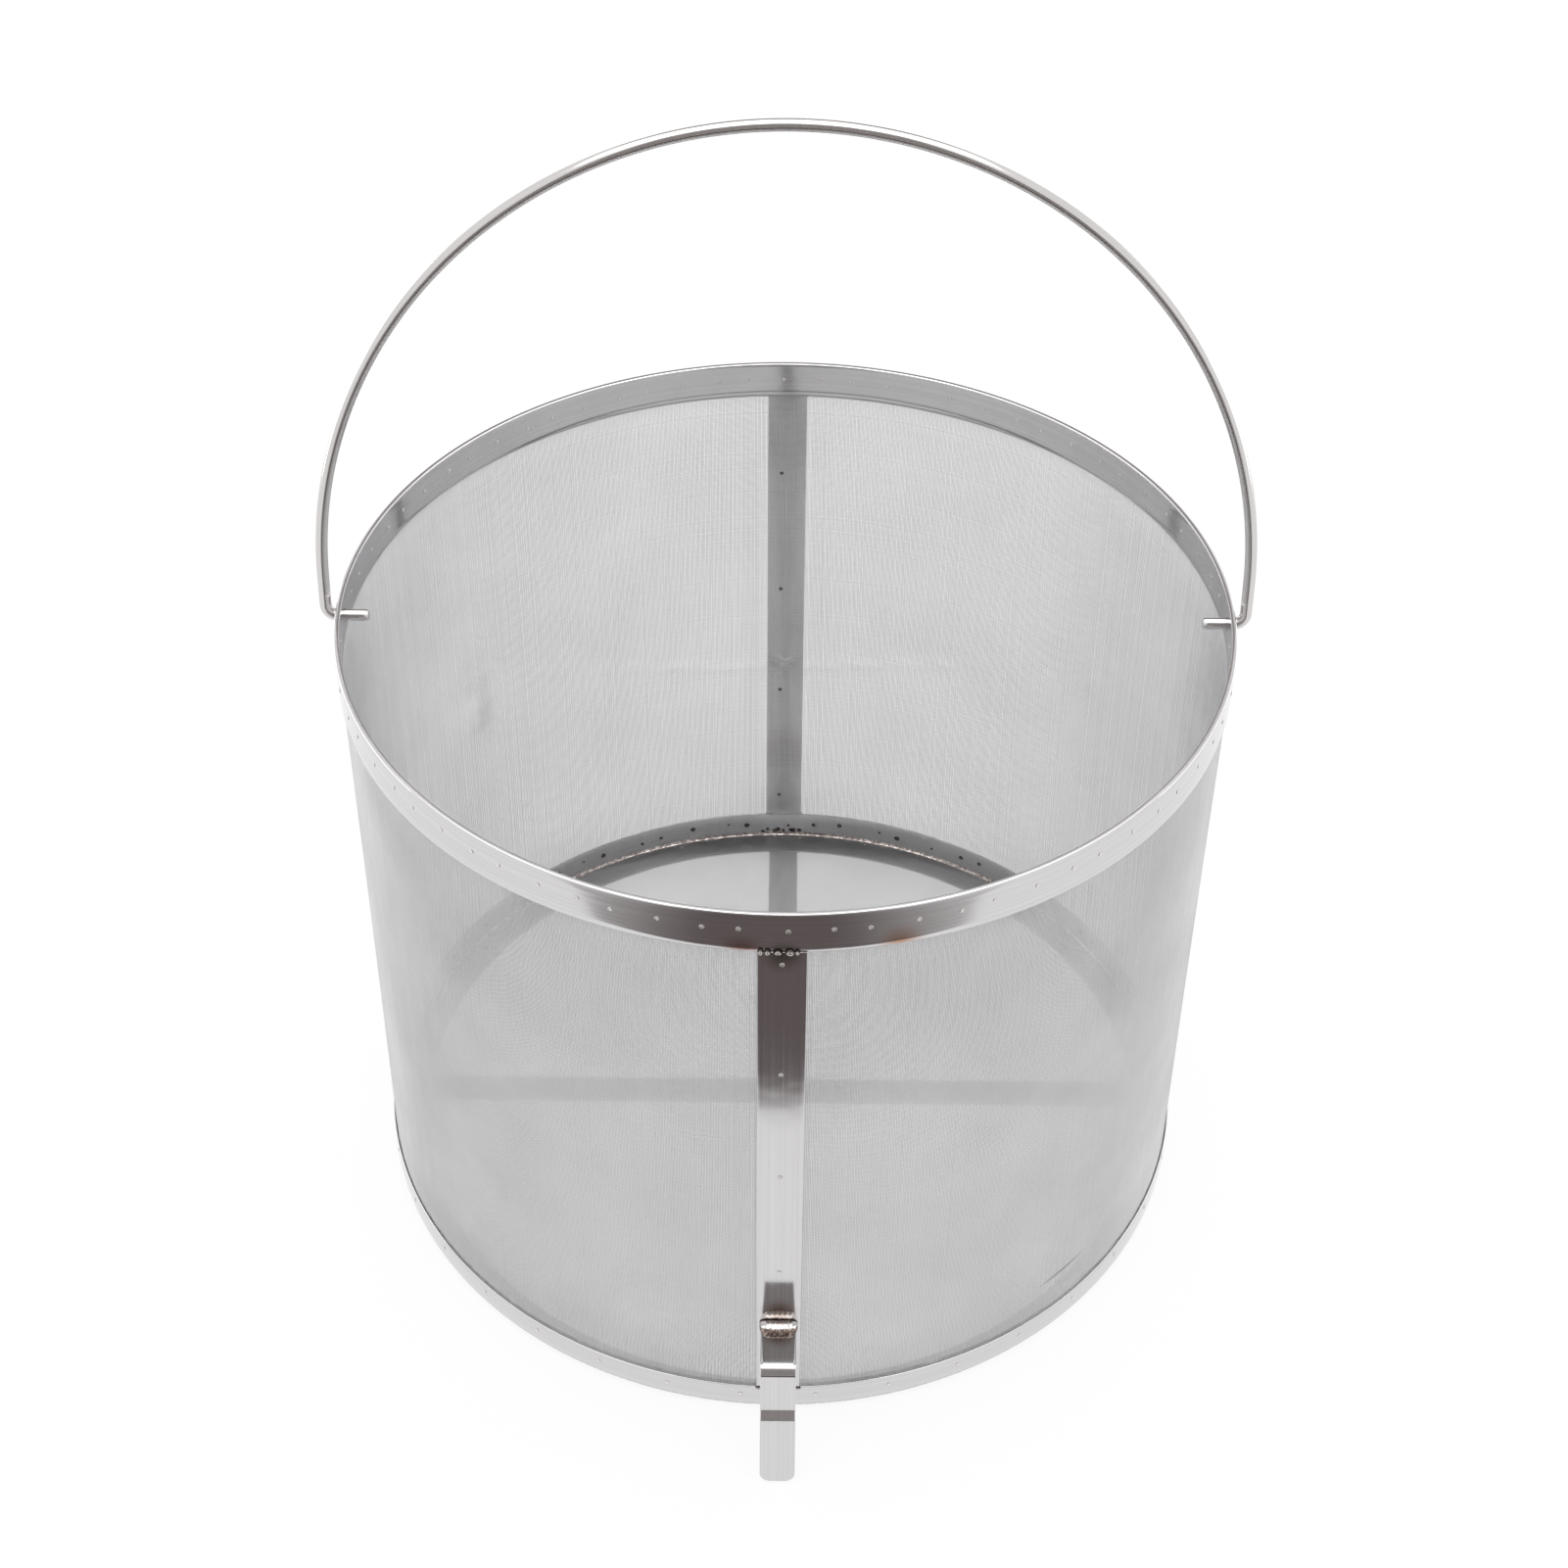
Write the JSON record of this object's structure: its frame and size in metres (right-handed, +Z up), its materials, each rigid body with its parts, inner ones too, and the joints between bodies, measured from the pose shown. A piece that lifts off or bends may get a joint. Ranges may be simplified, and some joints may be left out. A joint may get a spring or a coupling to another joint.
{
  "type": "basket strainer",
  "caption": "Round woven-mesh strainer basket with a folded steel rim, base ring, upright straps, drain hooks and a wire bail handle that swings.",
  "frame": {"origin": "on the basket's axis, at the surface that it stands on", "axes": "+Z up along the basket's axis, -Y towards the front strap and its hook, +X along the bail's pins"},
  "size_m": [0.3124, 0.361, 0.4021],
  "materials": {
    "woven_mesh": "woven stainless wire cloth",
    "polished_strip": "mirror-polished stainless strip",
    "bright_wire": "bright drawn stainless wire",
    "weld": "bare weld metal, slightly heat-tinted"
  },
  "bodies": {
    "basket": {"mesh_wall": "woven_mesh", "base_mesh": "woven_mesh", "rim_hem": "polished_strip", "base_ring": "polished_strip", "front_strap": "polished_strip", "back_strap": "polished_strip", "front_back_cross_strap": "polished_strip", "left_right_cross_strap": "polished_strip", "front_hook": "polished_strip", "back_hook": "polished_strip", "rim_spot_welds": "weld", "ring_spot_welds": "weld", "front_strap_spot_welds": "weld", "back_strap_spot_welds": "weld", "front_strap_rim_welds": "weld", "back_strap_rim_welds": "weld", "front_strap_ring_welds": "weld", "back_strap_ring_welds": "weld", "front_hook_weld": "weld", "back_hook_weld": "weld", "cross_strap_end_welds": "weld"},
    "bail": {"bail_handle": "bright_wire"}
  },
  "joints": [
    {"name": "bail_swing", "type": "hinge", "parent": "basket", "child": "bail", "pos_m": [0, 0, 0.2335], "axis": [1, 0, 0], "range_deg": [-105, 125]}
  ]
}
